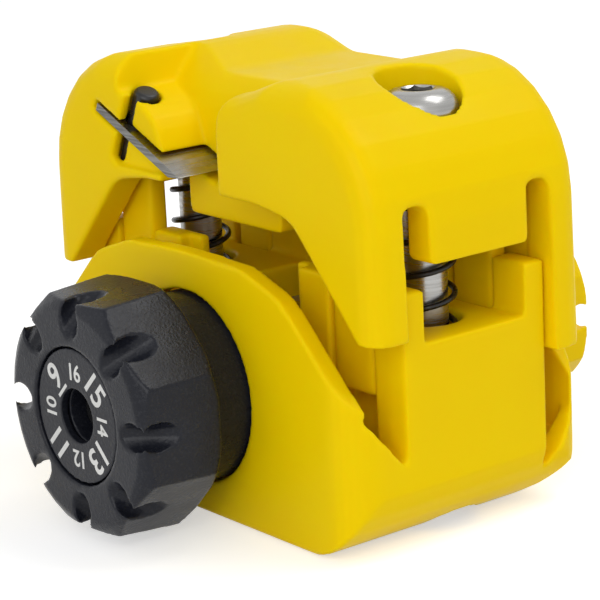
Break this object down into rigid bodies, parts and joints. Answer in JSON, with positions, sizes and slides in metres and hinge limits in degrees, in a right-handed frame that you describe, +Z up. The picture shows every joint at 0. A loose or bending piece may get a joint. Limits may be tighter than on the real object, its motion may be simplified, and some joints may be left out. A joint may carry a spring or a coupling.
{
  "type": "wire stripper",
  "caption": "Hand-held cable stripper: a spring-loaded upper body with a slanted blade slides on guide screws over a base with an octagonal setting knob on either side.",
  "frame": {"origin": "middle of the flat underside of the lower body, midway between the two knobs", "axes": "+Z up along the guide screws, X along the tool through both guide screws, -Y towards the numbered black knob along the shaft"},
  "size_m": [0.072, 0.0788, 0.06],
  "materials": {
    "yellow_plastic": "satin",
    "black_plastic": "satin",
    "bright_steel": "polished",
    "black_steel": "black oxide",
    "brass": "plain"
  },
  "bodies": {
    "base": {"lower_body": "yellow_plastic", "guide_screw_left": "bright_steel", "guide_screw_right": "bright_steel", "nut_left": "brass", "nut_right": "brass", "spring_left": "black_steel", "spring_right": "black_steel", "detent_ball": "bright_steel", "detent_spring": "black_steel", "detent_plug": "brass"},
    "head": {"upper_body": "yellow_plastic", "pressure_jaw": "yellow_plastic", "blade": "bright_steel", "clamp_pin": "black_steel"},
    "dial": {"front_knob": "black_plastic", "front_hub": "black_plastic", "dial_plate": "black_plastic", "front_knob_screw": "black_steel", "shaft": "bright_steel", "support_drum": "black_plastic", "index_wheel": "bright_steel", "rear_hub": "yellow_plastic", "rear_knob": "yellow_plastic", "rear_knob_screw": "black_steel"}
  },
  "joints": [
    {"name": "jaw_slide", "type": "slide", "parent": "base", "child": "head", "axis": [0, 0, 1], "range_m": [-0.0095, 0], "stiffness_N_per_m": 1200, "springref_m": 0.01, "deforming": ["spring_left", "spring_right"]},
    {"name": "knob_turn", "type": "hinge", "parent": "base", "child": "dial", "pos_m": [0, 0, 0.0176], "axis": [0, -1, 0], "continuous": true}
  ]
}
